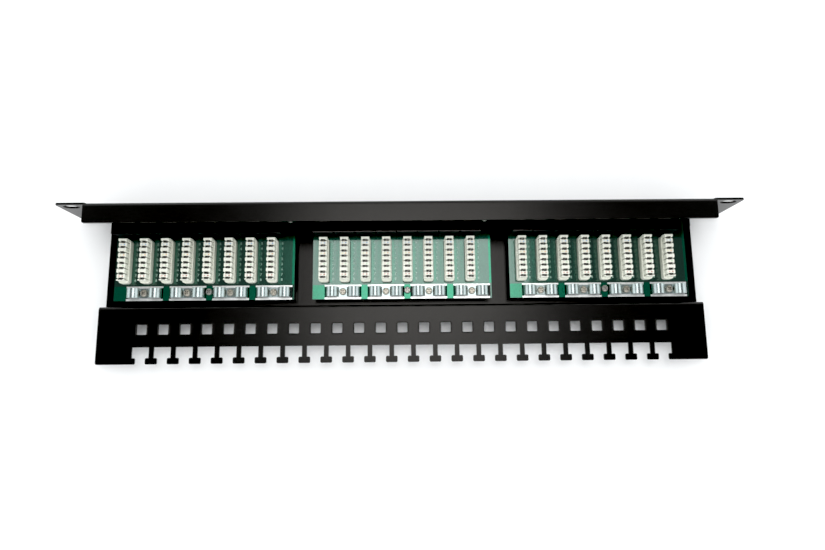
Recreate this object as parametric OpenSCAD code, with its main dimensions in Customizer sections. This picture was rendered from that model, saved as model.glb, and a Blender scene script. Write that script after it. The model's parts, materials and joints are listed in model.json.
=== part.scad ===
// Shielded 24-port network patch panel, one rack unit high, without a top cover.
// +Z is up, the face points to -Y and the cable tray to +Y. The origin is the centre of the
// four rack slots, on the plane of the ears that rests against the rack.

/* [Front panel] */
// Width across both rack ears
panel_w = 482.6; // [481:0.1:484]
// Height of the panel
panel_h = 43.7; // [43.2:0.1:44.4]
// Sheet thickness of the panel
panel_t = 1.5; // [1.2:0.1:1.8]
// Outside radius of the panel's two bends
panel_bend_r = 2.5; // [2.2:0.1:3]
// Width of the top flange
top_flange_w = 444; // [442:0.5:446]
// Depth of the top flange behind the mounting plane
top_flange_d = 13.1; // [11:0.1:15]
// Width of the bottom flange
bottom_flange_w = 441.6; // [440.4:0.2:444]
// Depth of the bottom flange behind the mounting plane
bottom_flange_d = 8; // [6:0.5:12]
// Corner radius of the ears and of the top flange
corner_r = 1.5; // [0.5:0.1:2.5]

/* [Rack slots] */
// Distance between the slot columns
slot_spacing_x = 465.1; // [464:0.1:466]
// Distance between the upper and lower slots
slot_spacing_z = 31.75; // [31:0.05:32]
// Length of a slot, end to end
slot_l = 11; // [9:0.5:12]
// Height of a slot
slot_h = 6.8; // [6:0.1:7.4]

/* [Base plate and cable tray] */
// Width of the base plate and of the tray
body_w = 440; // [438:0.5:440]
// Sheet thickness of the base plate and of the tray
body_t = 1.2; // [1:0.1:1.5]
// Depth of the base plate behind the mounting plane
base_d = 79; // [74:1:80]
// Height of the tray's top face, from the panel's mid height
tray_z = -8.5; // [-10:0.1:-7]
// Front edge of the tray
tray_front = 68.1; // [67:0.1:70]
// Rear edge of the tray
tray_rear = 109.7; // [108:0.1:112]
// Pitch of the tie holes, slots and fingers
tie_pitch = 15.68; // [15.6:0.02:15.8]
// Side of a square tie hole
tie_hole = 7.2; // [6:0.1:8.4]
// Middle line of the tie holes
tie_hole_y = 84.9; // [83:0.1:87]
// Front end of the open slots
slot_front = 97.5; // [96:0.1:99]
// Width of a finger's stem
stem_w = 3.4; // [3:0.1:4]
// Width of a finger's head
head_w = 8.3; // [7:0.1:9]
// Depth of a finger's head
head_d = 4.5; // [4:0.1:6]

/* [Circuit boards] */
// Pitch of the three boards
board_pitch = 144.2; // [143:0.1:146]
// Width of a board
board_w = 130.8; // [130:0.1:132]
// Thickness of a board
board_t = 1.6; // [1.2:0.1:2]
// Height of a board's top face, from the panel's mid height
board_z = -8; // [-9:0.1:-8]
// Front edge of a board
board_front = 1.5; // [0.5:0.1:2]
// Rear edge of a board
board_rear = 64; // [63:0.1:65]

/* [Ports] */
// Pitch of the ports and of the connection blocks
port_pitch = 15.24; // [15.2:0.02:15.4]
// Offset of the port row from the middle of its board
port_shift = 3.6; // [3:0.1:4]
// Width of a jack shield
jack_w = 14.8; // [14.2:0.1:15]
// Height of a jack shield
jack_h = 13.6; // [13:0.1:14]
// Depth of a jack shield behind the panel
jack_d = 17; // [16:0.1:18]
// Wall thickness of a jack shield
shield_t = 0.4; // [0.3:0.1:0.5]
// Width of a plug socket
socket_w = 11.9; // [11.8:0.1:12.2]
// Height of a plug socket above its latch channel
socket_h = 8.4; // [8:0.1:8.6]
// Depth of a plug socket
socket_d = 13; // [12:0.1:14]
// Width of the latch channel under the socket
latch_w = 6.4; // [6:0.1:7]
// Height of the latch channel
latch_h = 2.4; // [2:0.1:2.6]

/* [Connection blocks] */
// Front end of a block
block_front = 19.7; // [19:0.1:21]
// Length of a block
block_l = 32; // [31:0.1:33]
// Width of a block's foot
foot_w = 7.2; // [7:0.1:7.6]
// Height of a block's foot
foot_h = 4.6; // [4:0.1:5]
// Width of a block's teeth
teeth_w = 5.8; // [5.6:0.1:6.2]
// Height of a block over the board
block_h = 10.6; // [10:0.1:11]
// Pitch of the eight wire slots
wire_pitch = 3.86; // [3.8:0.02:3.9]
// Width of a wire slot
wire_slot = 0.4; // [0.3:0.1:0.6]
// Length of the contact pocket across a block
pocket_w = 3.4; // [3:0.1:3.8]
// Width of the contact pocket along a block
pocket_l = 1.8; // [1.7:0.1:2]

/* [Screen clamps] */
// Pitch of the four clamps on a board
clamp_pitch = 31.3; // [31:0.1:31.5]
// Offset of the clamp row from the middle of its board
clamp_shift = -3.8; // [-4:0.1:-3.6]
// Middle line of the clamps
clamp_y = 58.6; // [58.4:0.1:58.8]
// Width of a clamp strip along the cable
clamp_w = 7.2; // [6.8:0.1:7.4]
// Thickness of a clamp strip
clamp_t = 0.6; // [0.5:0.1:0.8]
// Outside radius of an arch
arch_r = 4.9; // [4.7:0.1:5]
// Distance from the screw to the middle of an arch
arch_x = 7.85; // [7.8:0.05:8]
// Diameter of the clamp screw's thread
thread_d = 2.9; // [2.9:0.1:2.9]
// Diameter of the screw heads
head_dia = 5; // [4.8:0.1:5.6]

/* [Hidden] */
$fn = 48;
eps = 0.01;
boards = 3;
ports = 8;
clamps = 4;
ties = 25;
letters = "abc";

half_h = panel_h / 2;
panel_inner_z = half_h - panel_t;
base_z = -panel_inner_z + body_t;
tray_bend_r = 2;
board_under = board_z - board_t;
ear_w = (panel_w - top_flange_w) / 2;

// The plug window in the panel clears the socket and its latch channel.
window_w = socket_w + 0.8;
window_h = socket_h + latch_h + 0.8;
socket_top = board_z + jack_h - 1.7;
window_z = socket_top - (socket_h + latch_h) / 2;
spring_w = 0.45;
spring_pitch = 1.02;

// The teeth inside a wire pair are lower, and the last tooth stops short of the foot.
pair_drop = 0.8;
tooth_chamfer = 0.4;
teeth_end = block_l - 1.2;
notch_in = 0.8;
notch_half = 0.9;
pocket_floor = 2.6;
contact_l = 1.9;
contact_h = 6.5;
contact_t = 0.4;
contact_slit = 0.36;

pad_t = 0.1;
pad_w = 26.6;
pad_front = 53.4;
pad_top = board_z + pad_t;
clamp_gap = 0.05;
leg_x = arch_x + arch_r;
leg_slot = 1.7;
leg_clear = 0.2;
leg_depth = 2.9;
screw_hole_r = 1.65;
pad_hole_r = 1.9;
nut_bore_r = 1.5;
nut_flat = 5.5;
nut_h = 2.4;
screw_l = 7.2;
screw_head_h = 1.9;
recess_l = 3;
recess_w = 0.7;
recess_d = 1.1;

fixing_y = [4.2, 57.8];
fixing_x = [-board_w / 2 + 4, clamp_shift];
fixing_l = 6.4;
fixing_r = 1.25;
standoff_r = 2.6;

function board_x(b) = (1 - b) * board_pitch;
function port_x(b, p) = board_x(b) + port_shift + ((ports - 1) / 2 - p) * port_pitch;
function clamp_x(n) = board_x(floor(n / clamps)) + clamp_shift
    + ((clamps - 1) / 2 - n % clamps) * clamp_pitch;
function two(n) = n < 10 ? str("0", n) : str(n);
function clamp_name(n) = str("shield_clamp_", two(n + 1));
function screw_name(n) = str("clamp_screw_", two(n + 1));
function board_nodes(part) = [for (b = [0 : boards - 1]) str(part, "_", letters[b])];

// ---- shared shapes ----

// A flat rectangle with round corners, from one corner point.
module round_rect(w, d, r) {
    translate([r, 0]) square([w - 2 * r, d]);
    translate([0, r]) square([w, d - 2 * r]);
    for (x = [r, w - r], y = [r, d - r])
        translate([x, y]) circle(r);
}

// Extrudes a Y-Z outline along X, centred on the middle of the panel.
module across(w) {
    rotate([90, 0, 90])
        linear_extrude(height = w, center = true)
            children();
}

// A quarter of a bent sheet, whose outer corner points to -Y and +Z.
module bend(r, t) {
    intersection() {
        difference() {
            circle(r);
            circle(r - t);
        }
        translate([-r, 0]) square([r, r]);
    }
}

// A hole along Y, rounded at both ends and long in X.
module slot_y(l, h, d) {
    rotate([90, 0, 0])
        linear_extrude(height = d, center = true) {
            square([l - h, h], center = true);
            for (s = [-1, 1])
                translate([s * (l - h) / 2, 0]) circle(h / 2);
        }
}

// Pan head with its underside at z = 0 and a cross recess.
module pan_head() {
    difference() {
        rotate_extrude()
            polygon([
                [0, 0], [head_dia / 2, 0], [head_dia / 2, screw_head_h * 0.55],
                [head_dia / 2 - 0.7, screw_head_h], [0, screw_head_h]
            ]);
        for (a = [45, 135])
            translate([0, 0, screw_head_h])
                rotate([0, 0, a])
                    cube([recess_l, recess_w, 2 * recess_d], center = true);
    }
}

module hexagon(flat, h) {
    cylinder(h = h, r = flat / sqrt(3), $fn = 6);
}

// ---- sheet metal ----

module panel_profile() {
    square_z = half_h - panel_bend_r;
    translate([-panel_t, -square_z]) square([panel_t, 2 * square_z]);
    for (m = [0, 1])
        mirror([0, m]) {
            translate([panel_bend_r - panel_t, square_z]) bend(panel_bend_r, panel_t);
            translate([panel_bend_r - panel_t - eps, panel_inner_z])
                square([(m == 0 ? top_flange_d : bottom_flange_d) - panel_bend_r + panel_t + eps, panel_t]);
        }
}

module ear() {
    translate([top_flange_w / 2 - corner_r, 0, -half_h])
        rotate([90, 0, 0])
            linear_extrude(height = panel_t)
                round_rect(ear_w + corner_r, panel_h, corner_r);
}

// What the flange corners and the shorter bottom flange lose.
module flange_trim() {
    trim = (top_flange_w - bottom_flange_w) / 2;
    for (s = [-1, 1]) {
        translate([s * (top_flange_w / 2 - trim / 2), bottom_flange_d / 2 + 2, -half_h])
            cube([trim, bottom_flange_d + 2, 2 * panel_bend_r], center = true);
        translate([s * (top_flange_w / 2 - corner_r), top_flange_d - corner_r, half_h])
            difference() {
                translate([s * corner_r, corner_r, 0])
                    cube([2 * corner_r, 2 * corner_r, 4 * panel_t], center = true);
                cylinder(h = 5 * panel_t, r = corner_r, center = true);
            }
    }
}

module front_panel() {
    color([0.05, 0.05, 0.055])
        difference() {
            union() {
                across(top_flange_w) panel_profile();
                ear();
                mirror([1, 0, 0]) ear();
            }
            flange_trim();
            for (x = [-1, 1], z = [-1, 1])
                translate([x * slot_spacing_x / 2, 0, z * slot_spacing_z / 2])
                    slot_y(slot_l, slot_h, 4 * panel_t);
            for (b = [0 : boards - 1], p = [0 : ports - 1])
                translate([port_x(b, p), 0, window_z])
                    cube([window_w, 4 * panel_t, window_h], center = true);
        }
}

module base_plate() {
    front = panel_bend_r - panel_t + 0.2;
    color([0.06, 0.06, 0.065])
        translate([-body_w / 2, front, base_z - body_t])
            cube([body_w, base_d - front, body_t]);
}

module finger() {
    translate([-stem_w / 2, slot_front - eps])
        square([stem_w, tray_rear - head_d - slot_front + 1]);
    translate([-head_w / 2, tray_rear - head_d])
        round_rect(head_w, head_d, 1);
}

// The solid end of the tray, with a lip as long as half a finger's head.
module tray_end() {
    inner = tie_pitch * ties / 2 - stem_w / 2;
    translate([inner, slot_front - eps])
        square([body_w / 2 - inner - corner_r, tray_rear - slot_front + eps]);
    translate([inner, slot_front - eps])
        square([body_w / 2 - inner, tray_rear - slot_front - corner_r]);
    translate([body_w / 2 - corner_r, tray_rear - corner_r])
        circle(corner_r);
    translate([inner - (head_w - stem_w) / 2, tray_rear - head_d])
        round_rect(8, head_d, 1);
}

module tray_plan() {
    front = tray_front + tray_bend_r;
    difference() {
        union() {
            translate([-body_w / 2, front])
                square([body_w, slot_front - front]);
            for (i = [0 : ties - 2])
                translate([(i - (ties - 2) / 2) * tie_pitch, 0]) finger();
            tray_end();
            mirror([1, 0]) tray_end();
        }
        for (i = [0 : ties - 1])
            translate([(i - (ties - 1) / 2) * tie_pitch - tie_hole / 2, tie_hole_y - tie_hole / 2])
                round_rect(tie_hole, tie_hole, 0.7);
    }
}

module tray_profile() {
    translate([tray_front + tray_bend_r, tray_z - tray_bend_r]) bend(tray_bend_r, body_t);
    translate([tray_front, base_z + tray_bend_r])
        square([body_t, tray_z - base_z - 2 * tray_bend_r]);
    translate([tray_front + tray_bend_r, base_z + tray_bend_r])
        mirror([0, 1]) bend(tray_bend_r, body_t);
    translate([tray_front + tray_bend_r - eps, base_z])
        square([base_d - tray_front - tray_bend_r, body_t]);
    translate([tray_front + tray_bend_r - eps, tray_z - body_t])
        square([1, body_t]);
}

module cable_tray() {
    color([0.06, 0.06, 0.065]) {
        across(body_w) tray_profile();
        translate([0, 0, tray_z - body_t])
            linear_extrude(height = body_t) tray_plan();
    }
}

// ---- circuit boards ----

module leg_slots(l, h) {
    for (s = [-1, 1])
        translate([s * (leg_x - clamp_t - leg_clear + leg_slot / 2), 0, 0])
            cube([leg_slot, l, h], center = true);
}

module circuit_board(b) {
    color([0.12, 0.45, 0.28])
        difference() {
            translate([board_x(b) - board_w / 2, board_front, board_under])
                cube([board_w, board_rear - board_front, board_t]);
            for (i = [0, 1])
                translate([board_x(b) + fixing_x[i], fixing_y[i], board_under - 1])
                    cylinder(h = board_t + 2, r = screw_hole_r);
            for (n = [b * clamps : (b + 1) * clamps - 1])
                translate([clamp_x(n), clamp_y, board_z - board_t / 2]) {
                    cylinder(h = 2 * board_t, r = screw_hole_r + 0.05, center = true);
                    leg_slots(clamp_w + 0.8, 2 * board_t);
                }
        }
}

module earth_pads(b) {
    color([0.85, 0.85, 0.83])
        difference() {
            for (n = [b * clamps : (b + 1) * clamps - 1])
                translate([clamp_x(n) - pad_w / 2, pad_front, board_z])
                    cube([pad_w, board_rear - pad_front, pad_t]);
            for (n = [b * clamps : (b + 1) * clamps - 1])
                translate([clamp_x(n), clamp_y, board_z]) {
                    cylinder(h = 1, r = pad_hole_r, center = true);
                    leg_slots(clamp_w + 0.8, 1);
                }
        }
}

// ---- connection blocks ----

function slot_place(i) = block_l / 2 + (i - 3.5) * wire_pitch;

// One tooth between two slots, seen along X: chamfered, and lower inside a wire pair.
function tooth(i) =
    let (
        from = i == 0 ? 0 : slot_place(i - 1) + wire_slot / 2,
        to = i == 8 ? teeth_end : slot_place(i) - wire_slot / 2,
        top = block_h - (i % 2 == 1 ? pair_drop : 0),
        cut = tooth_chamfer
    )
    [[from, foot_h + 0.6], [from, top - cut], [from + cut, top],
     [to - cut, top], [to, top - cut], [to, foot_h + 0.6]];

// One side of the teeth seen from above, with a V notch at the end of every slot.
function notched_side(s) = [
    for (i = [0 : 7], p = [-1 : 1])
        [s * (teeth_w / 2 - (p == 0 ? notch_in : 0)), slot_place(i) + p * notch_half]
];
function reversed(list) = [for (i = [len(list) - 1 : -1 : 0]) list[i]];

module teeth() {
    half = teeth_w / 2;
    intersection() {
        across(teeth_w)
            polygon(concat([[0, foot_h - 0.5]], [for (i = [0 : 8]) each tooth(i)],
                [[teeth_end, foot_h - 0.5]]));
        linear_extrude(height = 2 * block_h)
            polygon(concat([[half, -1]], notched_side(1), [[half, block_l], [-half, block_l]],
                reversed(notched_side(-1)), [[-half, -1]]));
    }
}

module idc_block() {
    difference() {
        union() {
            translate([-foot_w / 2, 0, 0])
                linear_extrude(height = foot_h) round_rect(foot_w, block_l, 1.8);
            teeth();
        }
        for (i = [0 : 7])
            translate([-pocket_w / 2, slot_place(i) - pocket_l / 2, pocket_floor])
                cube([pocket_w, pocket_l, block_h]);
    }
}

module idc_blocks(b) {
    color([0.93, 0.9, 0.8])
        for (p = [0 : ports - 1])
            translate([port_x(b, p), block_front, board_z]) idc_block();
}

// Split contact, turned 45 degrees in its pocket.
module idc_contact() {
    rotate([0, 0, 45])
        difference() {
            translate([-contact_l / 2, -contact_t / 2, 0])
                cube([contact_l, contact_t, contact_h]);
            translate([-contact_slit / 2, -contact_t, contact_h / 3])
                cube([contact_slit, 2 * contact_t, contact_h]);
        }
}

module idc_contacts(b) {
    color([0.75, 0.75, 0.76])
        for (p = [0 : ports - 1], i = [0 : 7])
            translate([port_x(b, p), block_front + slot_place(i), board_z + pocket_floor])
                idc_contact();
}

// ---- jacks ----

module jack_shields(b) {
    color([0.6, 0.6, 0.62])
        for (p = [0 : ports - 1])
            translate([port_x(b, p), 0, board_z])
                difference() {
                    translate([-jack_w / 2, 0, 0]) cube([jack_w, jack_d, jack_h]);
                    translate([-jack_w / 2 + shield_t, -1, shield_t])
                        cube([jack_w - 2 * shield_t, jack_d + 2, jack_h - 2 * shield_t]);
                }
}

module jack_socket() {
    translate([-socket_w / 2, -1, socket_top - socket_h])
        cube([socket_w, socket_d + 1, socket_h]);
    translate([-latch_w / 2, -1, socket_top - socket_h - latch_h])
        cube([latch_w, socket_d - 1, latch_h + 1]);
}

module jack_housings(b) {
    fit = shield_t + 0.02;
    color([0.08, 0.08, 0.08])
        for (p = [0 : ports - 1])
            translate([port_x(b, p), 0, 0])
                difference() {
                    translate([-jack_w / 2 + fit, 0.2, board_z + fit])
                        cube([jack_w - 2 * fit, jack_d - 0.3, jack_h - 2 * fit]);
                    jack_socket();
                }
}

// A spring wire that hangs from the socket's ceiling and slopes down to the rear.
module jack_spring() {
    rotate([90, 0, 90])
        linear_extrude(height = spring_w, center = true)
            polygon([
                [1.6, socket_top], [2.6, socket_top], [9.6, socket_top - 2.5],
                [11, socket_top - 2.3], [11, socket_top - 2.7], [9.5, socket_top - 2.95],
                [2.2, socket_top - 0.45]
            ]);
}

module jack_contacts(b) {
    color([0.83, 0.66, 0.3])
        for (p = [0 : ports - 1], i = [0 : 7])
            translate([port_x(b, p) + (i - 3.5) * spring_pitch, 0, 0]) jack_spring();
}

// ---- fixings ----

module clamp_nuts() {
    color([0.7, 0.7, 0.72])
        for (n = [0 : boards * clamps - 1])
            translate([clamp_x(n), clamp_y, board_under - nut_h])
                difference() {
                    hexagon(nut_flat, nut_h);
                    translate([0, 0, -1]) cylinder(h = nut_h + 2, r = nut_bore_r);
                }
}

module at_fixings() {
    for (b = [0 : boards - 1], i = [0, 1])
        translate([board_x(b) + fixing_x[i], fixing_y[i], 0]) children();
}

module board_standoffs() {
    color([0.72, 0.72, 0.74])
        at_fixings()
            difference() {
                translate([0, 0, base_z]) cylinder(h = board_under - base_z, r = standoff_r);
                translate([0, 0, board_z - fixing_l - 0.6])
                    cylinder(h = fixing_l, r = fixing_r + 0.02);
            }
}

module board_screws() {
    color([0.72, 0.72, 0.74])
        at_fixings() {
            translate([0, 0, board_z]) pan_head();
            translate([0, 0, board_z - fixing_l])
                cylinder(h = fixing_l + 0.2, r = fixing_r);
        }
}

// ---- screen clamps ----

// Half of the strip, seen along Y: flat middle, arch and the leg through the board.
module clamp_half() {
    square([arch_x - arch_r + clamp_t, clamp_t]);
    translate([arch_x, 0])
        intersection() {
            difference() {
                circle(arch_r);
                circle(arch_r - clamp_t);
            }
            translate([-arch_r, 0]) square([2 * arch_r, arch_r]);
        }
    translate([leg_x - clamp_t, -leg_depth])
        square([clamp_t, leg_depth + eps]);
}

module shield_clamp(n) {
    color([0.8, 0.8, 0.79])
        translate([clamp_x(n), clamp_y, pad_top + clamp_gap])
            difference() {
                rotate([90, 0, 0])
                    linear_extrude(height = clamp_w, center = true) {
                        clamp_half();
                        mirror([1, 0]) clamp_half();
                    }
                translate([0, 0, -1]) cylinder(h = 3, r = screw_hole_r);
            }
}

module clamp_screw(n) {
    under_head = pad_top + clamp_gap + clamp_t;
    color([0.78, 0.74, 0.62])
        translate([clamp_x(n), clamp_y, under_head]) {
            pan_head();
            translate([0, 0, -screw_l]) cylinder(h = screw_l + 0.2, r = thread_d / 2);
        }
}

front_panel();
base_plate();
cable_tray();
for (b = [0 : boards - 1]) {
    circuit_board(b);
    earth_pads(b);
    idc_blocks(b);
    idc_contacts(b);
    jack_shields(b);
    jack_housings(b);
    jack_contacts(b);
}
clamp_nuts();
board_standoffs();
board_screws();
for (n = [0 : boards * clamps - 1]) {
    shield_clamp(n);
    clamp_screw(n);
}
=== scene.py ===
import json
import math
import random

import bmesh
import bpy
from mathutils import Matrix, Vector


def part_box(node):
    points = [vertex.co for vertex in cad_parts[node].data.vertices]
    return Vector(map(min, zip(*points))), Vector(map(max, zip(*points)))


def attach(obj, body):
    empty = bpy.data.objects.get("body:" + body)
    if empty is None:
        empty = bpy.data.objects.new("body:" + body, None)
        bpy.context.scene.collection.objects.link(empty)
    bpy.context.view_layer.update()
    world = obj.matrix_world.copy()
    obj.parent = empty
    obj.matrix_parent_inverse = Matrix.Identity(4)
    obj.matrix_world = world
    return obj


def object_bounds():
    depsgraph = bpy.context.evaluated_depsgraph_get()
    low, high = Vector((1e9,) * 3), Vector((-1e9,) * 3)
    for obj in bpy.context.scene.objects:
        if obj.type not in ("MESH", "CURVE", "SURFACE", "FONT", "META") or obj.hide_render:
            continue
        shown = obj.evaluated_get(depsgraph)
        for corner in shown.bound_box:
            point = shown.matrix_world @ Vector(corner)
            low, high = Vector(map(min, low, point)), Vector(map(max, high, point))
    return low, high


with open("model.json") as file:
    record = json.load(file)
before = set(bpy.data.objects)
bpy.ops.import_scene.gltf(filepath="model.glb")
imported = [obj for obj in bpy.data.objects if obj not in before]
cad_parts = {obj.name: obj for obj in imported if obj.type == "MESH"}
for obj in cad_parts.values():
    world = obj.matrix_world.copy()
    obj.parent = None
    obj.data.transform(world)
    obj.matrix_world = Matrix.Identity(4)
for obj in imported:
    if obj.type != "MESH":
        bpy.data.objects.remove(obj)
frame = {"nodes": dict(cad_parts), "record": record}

CAD_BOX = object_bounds()
NODES = frame["nodes"]
MM = 0.001
BODY = "panel"

# What each board carries
BOARDS = "abc"
BLOCKS_PER_BOARD = 8
WIRES_PER_BLOCK = 8
CLAMPS_PER_BOARD = 4
BLOCK_WIDTH = 7.2 * MM
CONTACT_HALF = 0.813 * MM

# The tie holes of the tray; the record states two of them as openings, counted here from 0
TIE_HOLES = 25
TIE_HOLE = 7.2 * MM
TIE_CORNER = 0.7 * MM
KNOWN_HOLES = (6, 18)
# The paint lip round a hole: how far out from the edge, and how high
LIP = (
    (0.7 * MM, 0),
    (0.4 * MM, 0.075 * MM),
    (0.2 * MM, 0.09 * MM),
    (0.0, 0.03 * MM),
    (-0.04 * MM, -0.1 * MM),
)

# Ink numbers: those beside a block from front to rear, and those over the ports
SILK_ORDER = "54123678"
SILK_OFFSET = 6.4 * MM
SILK_SIZE = 2.4 * MM
SILK_BOLD = 0.11 * MM
PORT_NUMBER_SIZE = 4.2 * MM
PORT_NUMBER_Z = 8.2 * MM
INK_HALF = 0.01 * MM

# Copper under the mask of a board: strips beside the blocks, traces and vias
FILM = 0.01 * MM
COPPER_LIFT = 0.005 * MM
STRIP_WIDTH = 1.9 * MM
STRIP_OFFSET = 1.3 * MM
STRIP_CORNER = 0.8 * MM
TRACE_WIDTH = 0.34 * MM
TRACE_HEIGHT = 0.03 * MM
TRACE_PITCH = 0.75 * MM
TRACE_CLEAR = 0.5 * MM
TRACE_UNDER_BLOCK = 0.4 * MM
TRACE_SLANT = 0.8 * MM
TRACE_TO_JACK = 0.3 * MM
# How much further back than that a trace may stop, least and most, in millimetres
TRACE_SHORT = (0.2, 1.5)
TRACE_TO_EDGE = 2 * MM
VIA_OUTER = 0.42 * MM
VIA_INNER = 0.16 * MM
VIA_HEIGHT = 0.05 * MM
VIA_AHEAD = 2.2 * MM
VIA_EVERY = 3

# Plain mask at the edges of a board
MARGIN_LIFT = 0.001 * MM
MARGIN_WIDTH = 1.5 * MM
MARGIN_GAP = 0.1 * MM
MARGIN_SHORT = 0.6 * MM
MARGIN_CORNER = 0.2 * MM
MARGIN_WIDE_CORNER = 0.3 * MM

# Colour marks on the blocks, placed from a block's middle and its top
MARK_OFFSET = 1.15 * MM
MARK_DROP = 0.8 * MM
MARK_SIZE = (1.1 * MM, 0.9 * MM)
MARK_HEIGHT = 0.04 * MM
MARK_CORNER = 0.4 * MM

# Points to a rounded corner, and points round a via
PLATE_STEPS = 4
LIP_STEPS = 5
VIA_STEPS = 14

# Edges of the CAD pieces: bevel width by slot, and the angles in degrees that decide
BEVELS = {
    "black_powder_coat": 0.18 * MM,
    "ivory_plastic": 0.14 * MM,
    "bright_clamp": 0.1 * MM,
    "yellow_zinc": 0.1 * MM,
    "zinc_steel": 0.1 * MM,
    "green_solder_mask": 0.08 * MM,
}
WELD_GAP = 0.0005 * MM
FLAT_WITHIN = 0.1
BEVEL_OVER = 40
SHARP_OVER = 32
SHARP_OVER_BEVELLED = 50
SHARP_OVER_LIP = 60

# Elevation in degrees and brightness of the sky
SKY = ((0, 0.6), (14, 1.9), (38, 2.05), (47, 1.1), (58, 0.25))
SKY_TINT = (0.97, 0.99, 1)
SOFTBOX_PLACE = (-0.025, -0.13, 1.0)
SOFTBOX_AIM = (-0.025, -0.13, 0)
SOFTBOX_SIZE = (0.53, 0.5)
SOFTBOX_RADIANCE = 3.3
BLACK_LEVEL = 0.012
FLOOR_HALF = 6
FLOOR_GAP = 0.05 * MM

# The photograph's view: place in metres, turn in degrees, lens and sensor in millimetres
CAMERA_PLACE = (-0.00374, 0.12579, 0.44844)
CAMERA_TURN = (9.848, -0.389, 179.428)
CAMERA_LENS = 27.57
CAMERA_SENSOR = 36

# The colour sockets of a Mix node: factor, A and B, and the result
MIX_INPUTS = (0, 6, 7)
MIX_RESULT = 2
# How open a place is, as ambient occlusion finds it, from full painted shade to clear
HOLLOW_FULL_SHADE = 0.16
HOLLOW_NO_SHADE = 0.5

rng = random.Random(24)


# ---- places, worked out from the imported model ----

def node_box(name):
    low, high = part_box(name)
    return Vector(low), Vector(high)


def clamp_pitch():
    return node_box("shield_clamp_01")[0].x - node_box("shield_clamp_02")[0].x


def block_centres(letter):
    """X of each connection block on a board, from the +X end to the -X end."""
    low, high = node_box(f"idc_blocks_{letter}")
    first, last = high.x - BLOCK_WIDTH / 2, low.x + BLOCK_WIDTH / 2
    step = (last - first) / (BLOCKS_PER_BOARD - 1)
    return [first + step * i for i in range(BLOCKS_PER_BOARD)]


def wire_rows(letter):
    """Y of each wire slot, from the front to the rear."""
    low, high = node_box(f"idc_contacts_{letter}")
    first, last = low.y + CONTACT_HALF, high.y - CONTACT_HALF
    step = (last - first) / (WIRES_PER_BLOCK - 1)
    return [first + step * i for i in range(WIRES_PER_BLOCK)]


# ---- node materials ----

class Material:
    """A Principled material with helpers for procedural detail in object space."""

    def __init__(self, name, color, roughness, metallic=0.0, **sockets):
        self.mat = bpy.data.materials.new(name)
        self.mat.use_nodes = True
        self.tree = self.mat.node_tree
        self.shader = self.tree.nodes["Principled BSDF"]
        self.set("Base Color", (*color, 1))
        self.set("Roughness", roughness)
        self.set("Metallic", metallic)
        for socket, value in sockets.items():
            self.set(socket.replace("_", " "), value)
        self.coords = self.node("ShaderNodeTexCoord").outputs["Object"]
        self.normal = None

    def set(self, socket, value):
        self.shader.inputs[socket].default_value = value

    def drive(self, socket, value):
        self.link(value, self.shader.inputs[socket])

    def node(self, kind, **settings):
        made = self.tree.nodes.new(kind)
        for key, value in settings.items():
            setattr(made, key, value)
        return made

    def link(self, source, target):
        self.tree.links.new(source, target)

    def noise(self, scale, detail=3.0, stretch=(1, 1, 1)):
        mapping = self.node("ShaderNodeMapping")
        mapping.inputs["Scale"].default_value = stretch
        noise = self.node("ShaderNodeTexNoise")
        noise.inputs["Scale"].default_value = scale
        noise.inputs["Detail"].default_value = detail
        self.link(self.coords, mapping.inputs["Vector"])
        self.link(mapping.outputs["Vector"], noise.inputs["Vector"])
        return noise.outputs["Fac"]

    def ramp(self, value, *stops):
        """Blends between two stops, each a value and its colour."""
        ramp = self.node("ShaderNodeValToRGB")
        for element, (place, color) in zip(ramp.color_ramp.elements, stops):
            element.position = place
            element.color = (*color, 1)
        self.link(value, ramp.inputs["Fac"])
        return ramp.outputs["Color"]

    def mottle(self, noise, dark, light, start=0.3):
        """A colour that wanders from dark to light with a noise."""
        return self.ramp(noise, (start, dark), (0.7, light))

    def spread(self, value, low, high):
        """Maps 0..1 to low..high."""
        spread = self.node("ShaderNodeMapRange")
        spread.inputs["To Min"].default_value = low
        spread.inputs["To Max"].default_value = high
        self.link(value, spread.inputs["Value"])
        return spread.outputs["Result"]

    def mix(self, factor, first, second, blend_type="MIX"):
        """Mixes two colours; each argument is a socket or a plain value."""
        mix = self.node("ShaderNodeMix", data_type="RGBA", blend_type=blend_type)
        for index, value in zip(MIX_INPUTS, (factor, first, second)):
            if isinstance(value, bpy.types.NodeSocket):
                self.link(value, mix.inputs[index])
            elif isinstance(value, tuple):
                mix.inputs[index].default_value = (*value, 1)
            else:
                mix.inputs[index].default_value = value
        return mix.outputs[MIX_RESULT]

    def bump(self, height, strength, distance):
        """Adds relief on top of any that is there already."""
        bump = self.node("ShaderNodeBump")
        bump.inputs["Strength"].default_value = strength
        bump.inputs["Distance"].default_value = distance
        self.link(height, bump.inputs["Height"])
        if self.normal is not None:
            self.link(self.normal, bump.inputs["Normal"])
        self.normal = bump.outputs["Normal"]
        self.link(self.normal, self.shader.inputs["Normal"])

    def darken_hollows(self, color, distance, dark):
        """Painted shade: multiplies a colour by dark where the surface is deep in a narrow hollow."""
        hollow = self.node("ShaderNodeAmbientOcclusion")
        hollow.inputs["Distance"].default_value = distance
        shade = self.ramp(hollow.outputs["AO"], (HOLLOW_FULL_SHADE, dark), (HOLLOW_NO_SHADE, (1, 1, 1)))
        return self.mix(1.0, color, shade, blend_type="MULTIPLY")


def shaded(color, share):
    return tuple(share * channel for channel in color)


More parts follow.
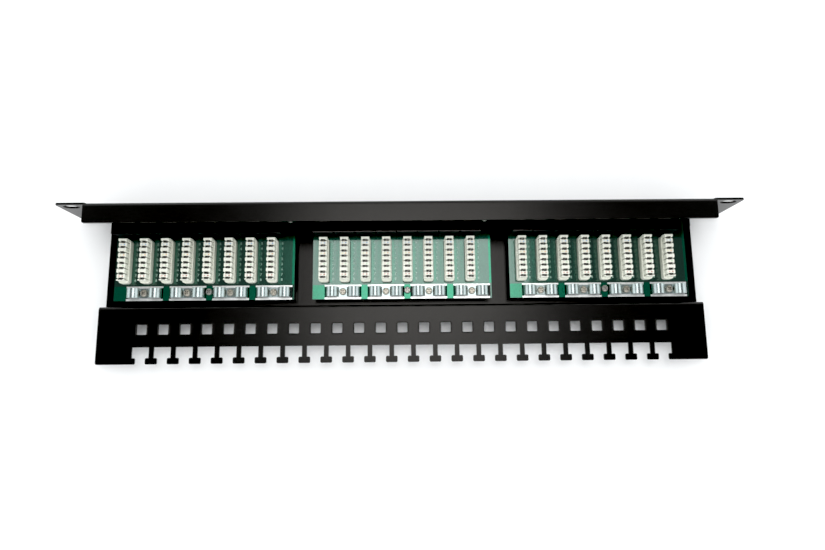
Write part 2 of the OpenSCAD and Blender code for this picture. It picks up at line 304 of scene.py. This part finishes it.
def powder_coat():
    look = Material("black_powder_coat", (0.0008, 0.0008, 0.0008), 0.24,
                    Specular_IOR_Level=0.33, Specular_Tint=(1.0, 0.97, 0.93, 1.0))
    speckle = look.noise(1400, detail=4)
    dark, light = (0.0005, 0.0005, 0.0005), (0.0012, 0.0012, 0.0011)
    look.drive("Base Color", look.mottle(speckle, dark, light, start=0.35))
    look.drive("Roughness", look.spread(look.noise(60, detail=4), 0.22, 0.27))
    look.bump(look.noise(1300, detail=2), strength=0.65, distance=0.05 * MM)
    look.bump(look.noise(260, detail=2), strength=0.03, distance=0.05 * MM)
    return look.mat


def solder_mask():
    look = Material("green_solder_mask", (0.017, 0.065, 0.045), 0.2, metallic=0.85,
                    Coat_Weight=1.0, Coat_Roughness=0.05, Coat_IOR=1.65)
    pour = look.mix(look.noise(900), (0.007, 0.048, 0.032), (0.02, 0.08, 0.054))
    patches = look.spread(look.noise(90), 0.0, 0.4)
    look.drive("Base Color", look.mix(patches, pour, (0.008, 0.062, 0.038)))
    look.drive("Roughness", look.spread(look.noise(200), 0.16, 0.24))
    weave = look.noise(700, detail=2, stretch=(1, 0.25, 1))
    look.bump(weave, strength=0.1, distance=0.02 * MM)
    return look.mat


def clear_mask():
    """The plain green margins of a board, without printing or traces."""
    look = Material("green_margin", (0.01, 0.16, 0.09), 0.2, metallic=0.9,
                    Coat_Weight=0.7, Coat_Roughness=0.05)
    weave = look.noise(1300, detail=2)
    look.drive("Base Color", look.mottle(weave, (0.006, 0.14, 0.075), (0.012, 0.18, 0.1)))
    look.bump(weave, strength=0.1, distance=0.02 * MM)
    return look.mat


def copper_under_mask():
    look = Material("mask_over_copper", (0.025, 0.12, 0.08), 0.2, metallic=0.7,
                    Coat_Weight=1.0, Coat_Roughness=0.05)
    grain = look.noise(800, detail=2)
    look.drive("Base Color", look.mottle(grain, (0.018, 0.1, 0.066), (0.032, 0.13, 0.088)))
    look.bump(look.noise(900, detail=2), strength=0.08, distance=0.02 * MM)
    return look.mat


def tinned_copper():
    look = Material("tinned_copper", (0.86, 0.87, 0.86), 0.28, metallic=0.85)
    look.drive("Base Color", look.mottle(look.noise(300), (0.8, 0.81, 0.8), (0.92, 0.93, 0.92)))
    look.drive("Roughness", look.spread(look.noise(500), 0.22, 0.45))
    look.bump(look.noise(420), strength=0.4, distance=0.06 * MM)
    return look.mat


def ivory_plastic():
    look = Material("ivory_plastic", (0.86, 0.83, 0.72), 0.42)
    ivory_tone = look.mottle(look.noise(240), (0.74, 0.75, 0.66), (0.81, 0.82, 0.735))
    # Painted shade: the pockets and wire slots of the blocks are darkened nearly to black where they
    # are deep and narrow
    look.drive("Base Color", look.darken_hollows(ivory_tone, 2.5 * MM, (0.02, 0.015, 0.01)))
    look.drive("Roughness", look.spread(look.noise(700), 0.36, 0.5))
    look.bump(look.noise(1600), strength=0.12, distance=0.02 * MM)
    return look.mat


def plated(name, color, rough, scale=500, shade_reach=0.0):
    """Bare plated metal; the last argument is how far into its recesses painted shade reaches, or 0.
    """
    look = Material(name, color, rough, metallic=1.0)
    tone_and_shade = look.mottle(look.noise(scale, detail=4), shaded(color, 0.82), color)
    # Painted shade in the recesses, where asked for
    if shade_reach:
        tone_and_shade = look.darken_hollows(tone_and_shade, shade_reach, (0.03, 0.025, 0.02))
    look.drive("Base Color", tone_and_shade)
    look.drive("Roughness", look.spread(look.noise(scale * 1.7), rough * 0.8, rough * 1.25))
    look.bump(look.noise(scale * 2.5), strength=0.12, distance=0.015 * MM)
    return look.mat


def black_plastic():
    look = Material("black_plastic", (0.008, 0.008, 0.009), 0.4, Specular_IOR_Level=0.15)
    dark, light = (0.006, 0.006, 0.007), (0.011, 0.011, 0.012)
    look.drive("Base Color", look.mottle(look.noise(300), dark, light))
    look.drive("Roughness", look.spread(look.noise(600), 0.34, 0.5))
    look.bump(look.noise(2200), strength=0.15, distance=0.02 * MM)
    return look.mat


def printed(name, color, rough=0.6, coat=0.0):
    """Ink; coat is 1 where the ink has a clear gloss over it."""
    look = Material(name, color, rough, Coat_Weight=coat, Coat_Roughness=0.08, Coat_IOR=1.65)
    look.drive("Base Color", look.mottle(look.noise(1500), shaded(color, 0.85), color))
    look.bump(look.noise(3000, detail=2), strength=0.1, distance=0.01 * MM)
    return look.mat


def paper():
    look = Material("white_paper", (0.955, 0.955, 0.955), 0.85)
    dark, light = (0.95, 0.951, 0.955), (0.965, 0.965, 0.965)
    look.drive("Base Color", look.mottle(look.noise(40), dark, light))
    look.bump(look.noise(900), strength=0.05, distance=0.02 * MM)
    return look.mat


MATERIALS = {
    "black_powder_coat": powder_coat(),
    "green_solder_mask": solder_mask(),
    "tinned_copper": tinned_copper(),
    "ivory_plastic": ivory_plastic(),
    "tinned_contact": plated("tinned_contact", (0.42, 0.4, 0.36), rough=0.3, scale=900),
    "nickel_shield": plated("nickel_shield", (0.13, 0.12, 0.115), rough=0.1, scale=220),
    "black_plastic": black_plastic(),
    "gold_contact": plated("gold_contact", (0.9, 0.66, 0.28), rough=0.2, scale=900),
    # The two zinc metals carry painted shade in their recesses, such as the cross of a screw head
    "zinc_steel": plated("zinc_steel", (0.42, 0.41, 0.38), rough=0.36, shade_reach=1.2 * MM),
    "bright_clamp": plated("bright_clamp", (0.4, 0.465, 0.46), rough=0.24, scale=350),
    "yellow_zinc": plated("yellow_zinc", (0.52, 0.49, 0.42), rough=0.36, scale=600, shade_reach=1.2 * MM),
}
PRINT_WHITE = printed("white_print", (0.85, 0.87, 0.84))
PRINT_PALE = printed("pale_print", (0.3, 0.47, 0.39), coat=1.0)
# The full and the pale ink of each wire pair, from the front to the rear
PAIR_COLORS = {
    "blue": ((0.35, 0.5, 0.72), (0.62, 0.7, 0.78)),
    "orange": ((0.85, 0.55, 0.3), (0.82, 0.78, 0.5)),
    "green": ((0.5, 0.68, 0.45), (0.8, 0.72, 0.62)),
    "brown": ((0.5, 0.2, 0.16), (0.72, 0.42, 0.38)),
}
PAIR_MARKS = [
    (printed(f"mark_{name}", full, rough=0.5), printed(f"mark_pale_{name}", pale, rough=0.5))
    for name, (full, pale) in PAIR_COLORS.items()
]
MARGIN = clear_mask()
TRACE = copper_under_mask()


# ---- the CAD pieces ----

def shade_smooth(piece, sharp_over):
    """Smooth shading on curved faces, with every edge over the angle kept sharp."""
    mesh = piece.data
    mesh.polygons.foreach_set("use_smooth", [True] * len(mesh.polygons))
    if "custom_normal" in mesh.attributes:
        mesh.attributes.remove(mesh.attributes["custom_normal"])
    split = piece.modifiers.new("sharp_edges", "EDGE_SPLIT")
    split.split_angle = math.radians(sharp_over)
    split.use_edge_sharp = False
    flat = piece.modifiers.new("flat_faces", "WEIGHTED_NORMAL")
    flat.weight = 100
    flat.keep_sharp = True


def dress_cad():
    """Every CAD node gets its slot's material, and a small bevel where it is moulded or bent.

    Flat regions are merged first, so that the bevel leaves no thin triangles across them."""
    slots = {s["node"]: s["material_slot"] for s in frame["record"]["subparts"]}
    for name, node in NODES.items():
        slot = slots[name]
        node.data.materials.clear()
        node.data.materials.append(MATERIALS[slot])
        weld = node.modifiers.new("weld", "WELD")
        weld.merge_threshold = WELD_GAP
        merge = node.modifiers.new("flat_regions", "DECIMATE")
        merge.decimate_type = "DISSOLVE"
        merge.angle_limit = math.radians(FLAT_WITHIN)
        if slot in BEVELS:
            bevel = node.modifiers.new("edge", "BEVEL")
            bevel.width = BEVELS[slot]
            bevel.segments = 2
            bevel.limit_method = "ANGLE"
            bevel.angle_limit = math.radians(BEVEL_OVER)
        shade_smooth(node, SHARP_OVER_BEVELLED if slot in BEVELS else SHARP_OVER)


# ---- mesh helpers ----

def piece_from(name, shape, material):
    mesh = bpy.data.meshes.new(name)
    shape.to_mesh(mesh)
    shape.free()
    mesh.materials.append(material)
    piece = bpy.data.objects.new(name, mesh)
    bpy.context.scene.collection.objects.link(piece)
    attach(piece, BODY)
    return piece


def rounded_outline(reach_x, reach_y, radius, steps):
    """Points round a rectangle that reaches so far from the origin, widened by radius."""
    points = []
    for quarter, (sx, sy) in enumerate(((1, 1), (-1, 1), (-1, -1), (1, -1))):
        for step in range(steps):
            angle = math.radians(90 * (quarter + step / (steps - 1)))
            points.append((sx * reach_x + radius * math.cos(angle),
                           sy * reach_y + radius * math.sin(angle)))
    return points


def add_outline(shape, centre, outline, up):
    """Vertices along an outline round centre, raised by up."""
    return [shape.verts.new((centre[0] + dx, centre[1] + dy, centre[2] + up)) for dx, dy in outline]


def add_walls(shape, rings):
    """Faces between each closed ring of vertices and the next."""
    for near, far in zip(rings, rings[1:]):
        for i in range(len(near)):
            j = (i + 1) % len(near)
            shape.faces.new((near[i], near[j], far[j], far[i]))


def add_plate(shape, centre, size, height, corner):
    """A thin plate with round corners and a softened top edge, lying on z = centre.z."""
    half = Vector(size) / 2
    corner = min(corner, half.x, half.y)
    rings = []
    for inset, up in ((0.0, 0.0), (0.0, height * 0.6), (height * 0.5, height)):
        radius = max(corner - inset, 0.0)
        outline = rounded_outline(half.x - corner, half.y - corner, radius, PLATE_STEPS)
        rings.append(add_outline(shape, centre, outline, up))
    add_walls(shape, rings)
    shape.faces.new(rings[-1])


def add_ribbon(shape, points, width, height):
    """A flat raised ribbon along points that share one z, narrower at its top."""
    up = Vector((0, 0, height))
    left, right = [], []
    for i, point in enumerate(points):
        before, after = points[max(i - 1, 0)], points[min(i + 1, len(points) - 1)]
        along = (after - before).normalized()
        side = Vector((-along.y, along.x, 0)) * width / 2
        top_side = side * 0.8
        left.append((shape.verts.new(point + side), shape.verts.new(point + top_side + up)))
        right.append((shape.verts.new(point - side), shape.verts.new(point - top_side + up)))
    for i in range(len(points) - 1):
        shape.faces.new((left[i][1], right[i][1], right[i + 1][1], left[i + 1][1]))
        shape.faces.new((left[i][0], left[i][1], left[i + 1][1], left[i + 1][0]))
        shape.faces.new((right[i][1], right[i][0], right[i + 1][0], right[i + 1][1]))


def add_via(shape, centre):
    """A low rim round a plated hole."""
    angles = [2 * math.pi * i / VIA_STEPS for i in range(VIA_STEPS)]
    rows = ((VIA_OUTER, 0.0), (VIA_OUTER * 0.9, VIA_HEIGHT), (VIA_INNER, VIA_HEIGHT), (VIA_INNER, 0.0))
    rings = []
    for radius, up in rows:
        outline = [(radius * math.cos(angle), radius * math.sin(angle)) for angle in angles]
        rings.append(add_outline(shape, centre, outline, up))
    add_walls(shape, rings)


def digit_mesh(text, size, bold=0.0):
    """The built-in font's outline of a number as (vertices, faces), centred on the origin."""
    curve = bpy.data.curves.new("digit", "FONT")
    curve.body = text
    curve.size = size
    curve.extrude = INK_HALF
    curve.offset = bold
    curve.resolution_u = 3
    curve.align_x = "CENTER"
    curve.align_y = "CENTER"
    holder = bpy.data.objects.new("digit", curve)
    mesh = holder.to_mesh()
    made = ([v.co.copy() for v in mesh.vertices], [tuple(p.vertices) for p in mesh.polygons])
    holder.to_mesh_clear()
    bpy.data.objects.remove(holder)
    bpy.data.curves.remove(curve)
    return made


def add_digit(shape, digit, place):
    """Adds a digit mesh, turned and moved by the matrix place; a repeated face is left out."""
    points, faces = digit
    verts = [shape.verts.new(place @ point) for point in points]
    for face in faces:
        try:
            shape.faces.new([verts[i] for i in face])
        except ValueError:
            pass


# ---- printing and copper on the boards ----

def board_print(letter):
    """Pale position numbers beside every connection block, to be read from the rear."""
    shape = bmesh.new()
    digits = {char: digit_mesh(char, SILK_SIZE, SILK_BOLD) for char in SILK_ORDER}
    facing_rear = Matrix.Rotation(math.pi, 4, "Z")
    z = node_box(f"circuit_board_{letter}")[1].z + 2 * INK_HALF
    for x in block_centres(letter):
        for char, y in zip(SILK_ORDER, wire_rows(letter)):
            place = Matrix.Translation((x - SILK_OFFSET, y, z)) @ facing_rear
            add_digit(shape, digits[char], place)
    piece_from(f"board_numbers_{letter}", shape, PRINT_PALE)


def board_copper(letter):
    """Raised copper under the mask: a strip beside each block, and a trace from each wire row
    forward to the jack, some with a via."""
    low, high = node_box(f"circuit_board_{letter}")
    block_low, block_high = node_box(f"idc_blocks_{letter}")
    middle, length = (block_low.y + block_high.y) / 2, block_high.y - block_low.y
    front = node_box(f"jack_shields_{letter}")[1].y + TRACE_TO_JACK
    z = high.z + COPPER_LIFT
    shape = bmesh.new()
    for x in block_centres(letter):
        strip = x - BLOCK_WIDTH / 2 - STRIP_OFFSET
        add_plate(shape, (strip, middle, z), (STRIP_WIDTH, length), FILM, STRIP_CORNER)
        for i, y in enumerate(wire_rows(letter)):
            side = 1 if i % 2 else -1
            reach = x + side * (BLOCK_WIDTH / 2 + TRACE_CLEAR + TRACE_PITCH * (i // 2))
            if not low.x + TRACE_TO_EDGE < reach < high.x - TRACE_TO_EDGE:
                continue
            start = Vector((x + side * (BLOCK_WIDTH / 2 - TRACE_UNDER_BLOCK), y, z))
            turn = Vector((reach, y - TRACE_SLANT, z))
            end = Vector((reach, front + rng.uniform(*TRACE_SHORT) * MM, z))
            add_ribbon(shape, [start, turn, end], TRACE_WIDTH, TRACE_HEIGHT)
            if i % VIA_EVERY == 0:
                add_via(shape, (reach, y - VIA_AHEAD, z))
    piece_from(f"board_traces_{letter}", shape, TRACE)


def board_margins(letter):
    """Plain mask at the board's -X edge, and beside and between the earth pads."""
    low, high = node_box(f"circuit_board_{letter}")
    pads_low, pads_high = node_box(f"earth_pads_{letter}")
    jack_rear = node_box(f"jack_shields_{letter}")[1].y
    z = high.z + MARGIN_LIFT
    shape = bmesh.new()

    # The -X edge, from the jacks to the pads
    deep = pads_low.y - jack_rear - MARGIN_SHORT
    x = low.x + MARGIN_WIDTH / 2 + MARGIN_GAP
    add_plate(shape, (x, jack_rear + deep / 2, z), (MARGIN_WIDTH, deep), FILM, MARGIN_CORNER)

    # The +X end of the row of pads
    y = (pads_low.y + high.y) / 2
    deep = high.y - pads_low.y - 3 * MARGIN_GAP
    wide = high.x - pads_high.x - 2 * MARGIN_GAP
    x = high.x - wide / 2 - MARGIN_GAP
    add_plate(shape, (x, y, z), (wide, deep), FILM, MARGIN_WIDE_CORNER)

    # Between one pad and the next
    pitch = clamp_pitch()
    gap = pitch - (pads_high.x - pads_low.x - (CLAMPS_PER_BOARD - 1) * pitch)
    for i in range(1, CLAMPS_PER_BOARD):
        x = pads_low.x + i * pitch - gap / 2
        add_plate(shape, (x, y, z), (gap - MARGIN_GAP, deep), FILM, MARGIN_CORNER)
    piece_from(f"board_margin_{letter}", shape, MARGIN)


# ---- powder coat gathered round the tie holes ----

def hole_lips():
    """A low rounded lip of paint round every tie hole in the tray."""
    openings = {o["name"]: o["box_m"] for o in frame["record"]["physics"]["openings"]}
    known = [openings[f"tie_hole_{hole + 1:02d}"] for hole in KNOWN_HOLES]
    (first_x, y), (last_x, _) = [
        ((low[0] + high[0]) / 2, (low[1] + high[1]) / 2) for low, high in known]
    pitch = (last_x - first_x) / (KNOWN_HOLES[1] - KNOWN_HOLES[0])
    reach = TIE_HOLE / 2 - TIE_CORNER
    top = node_box("cable_tray")[1].z
    shape = bmesh.new()
    for hole in range(TIE_HOLES):
        x = first_x + (hole - KNOWN_HOLES[0]) * pitch
        rings = []
        for out, up in LIP:
            outline = rounded_outline(reach, reach, TIE_CORNER + out, LIP_STEPS)
            rings.append(add_outline(shape, (x, y, top), outline, up))
        add_walls(shape, rings)
    lips = piece_from("tie_hole_lips", shape, MATERIALS["black_powder_coat"])
    shade_smooth(lips, SHARP_OVER_LIP)


# ---- colour marks on the connection blocks ----

def pair_marks(letter):
    """Two small ink dots on the low tooth inside each wire pair: one full, one pale."""
    rows = wire_rows(letter)
    z = node_box(f"idc_blocks_{letter}")[1].z - MARK_DROP
    for pair, inks in enumerate(PAIR_MARKS):
        y = (rows[2 * pair] + rows[2 * pair + 1]) / 2
        for kind, side, ink in zip(("full", "pale"), (-1, 1), inks):
            shape = bmesh.new()
            for x in block_centres(letter):
                centre = (x + side * MARK_OFFSET, y, z)
                add_plate(shape, centre, MARK_SIZE, MARK_HEIGHT, MARK_CORNER)
            piece_from(f"pair_marks_{letter}_{pair + 1}_{kind}", shape, ink)


# ---- port numbers on the face ----

def port_numbers():
    """White numbers 1 to 24 over the ports, on the front of the panel."""
    shape = bmesh.new()
    face = node_box("front_panel")[0].y - INK_HALF
    upright = Matrix.Rotation(math.pi / 2, 4, "X")
    centres = sorted(x for letter in BOARDS for x in block_centres(letter))
    for number, x in enumerate(centres, 1):
        place = Matrix.Translation((x, face, PORT_NUMBER_Z)) @ upright
        add_digit(shape, digit_mesh(str(number), PORT_NUMBER_SIZE), place)
    piece_from("port_numbers", shape, PRINT_WHITE)


# ---- floor, lights and camera ----

def add_floor():
    shape = bmesh.new()
    bmesh.ops.create_grid(shape, x_segments=4, y_segments=4, size=FLOOR_HALF)
    mesh = bpy.data.meshes.new("floor")
    shape.to_mesh(mesh)
    shape.free()
    mesh.materials.append(paper())
    floor = bpy.data.objects.new("floor", mesh)
    floor.location = (0, 0, CAD_BOX[0].z - FLOOR_GAP)
    bpy.context.scene.collection.objects.link(floor)


def add_softbox():
    """One softbox overhead; its power follows from how bright its face is."""
    light = bpy.data.lights.new("overhead", "AREA")
    light.shape = "RECTANGLE"
    light.size, light.size_y = SOFTBOX_SIZE
    light.energy = SOFTBOX_RADIANCE * math.pi * SOFTBOX_SIZE[0] * SOFTBOX_SIZE[1]
    softbox = bpy.data.objects.new("overhead", light)
    softbox.location = SOFTBOX_PLACE
    facing = Vector(SOFTBOX_PLACE) - Vector(SOFTBOX_AIM)
    softbox.rotation_euler = facing.to_track_quat("Z", "Y").to_euler()
    bpy.context.scene.collection.objects.link(softbox)


def add_sky():
    """A sky that is brightest at mid height and dim overhead."""
    world = bpy.data.worlds.new("studio")
    world.use_nodes = True
    tree = world.node_tree
    coords = tree.nodes.new("ShaderNodeTexCoord")
    split = tree.nodes.new("ShaderNodeSeparateXYZ")
    sky = tree.nodes.new("ShaderNodeValToRGB")
    elements = sky.color_ramp.elements
    while len(elements) < len(SKY):
        elements.new(0.5)
    for element, (elevation, level) in zip(elements, SKY):
        element.position = math.sin(math.radians(elevation))
        element.color = (*shaded(SKY_TINT, level), 1)
    tree.links.new(coords.outputs["Generated"], split.inputs["Vector"])
    tree.links.new(split.outputs["Z"], sky.inputs["Fac"])
    tree.links.new(sky.outputs["Color"], tree.nodes["Background"].inputs["Color"])
    bpy.context.scene.world = world


def add_camera():
    """Above and a little behind the panel, looking down and slightly forward."""
    data = bpy.data.cameras.new("camera")
    data.sensor_width = CAMERA_SENSOR
    data.lens = CAMERA_LENS
    camera = bpy.data.objects.new("camera", data)
    camera.location = CAMERA_PLACE
    camera.rotation_euler = [math.radians(angle) for angle in CAMERA_TURN]
    bpy.context.scene.collection.objects.link(camera)
    bpy.context.scene.camera = camera


def set_exposure():
    """Plain display colours with deep blacks, as in a product photograph with its levels set."""
    view = bpy.context.scene.view_settings
    view.view_transform = "Standard"
    view.use_curve_mapping = True
    view.curve_mapping.black_level = (BLACK_LEVEL,) * 3
    view.curve_mapping.update()


add_camera()
add_floor()
add_softbox()
add_sky()
set_exposure()
dress_cad()
for board in BOARDS:
    board_print(board)
    board_copper(board)
    board_margins(board)
    pair_marks(board)
port_numbers()
hole_lips()
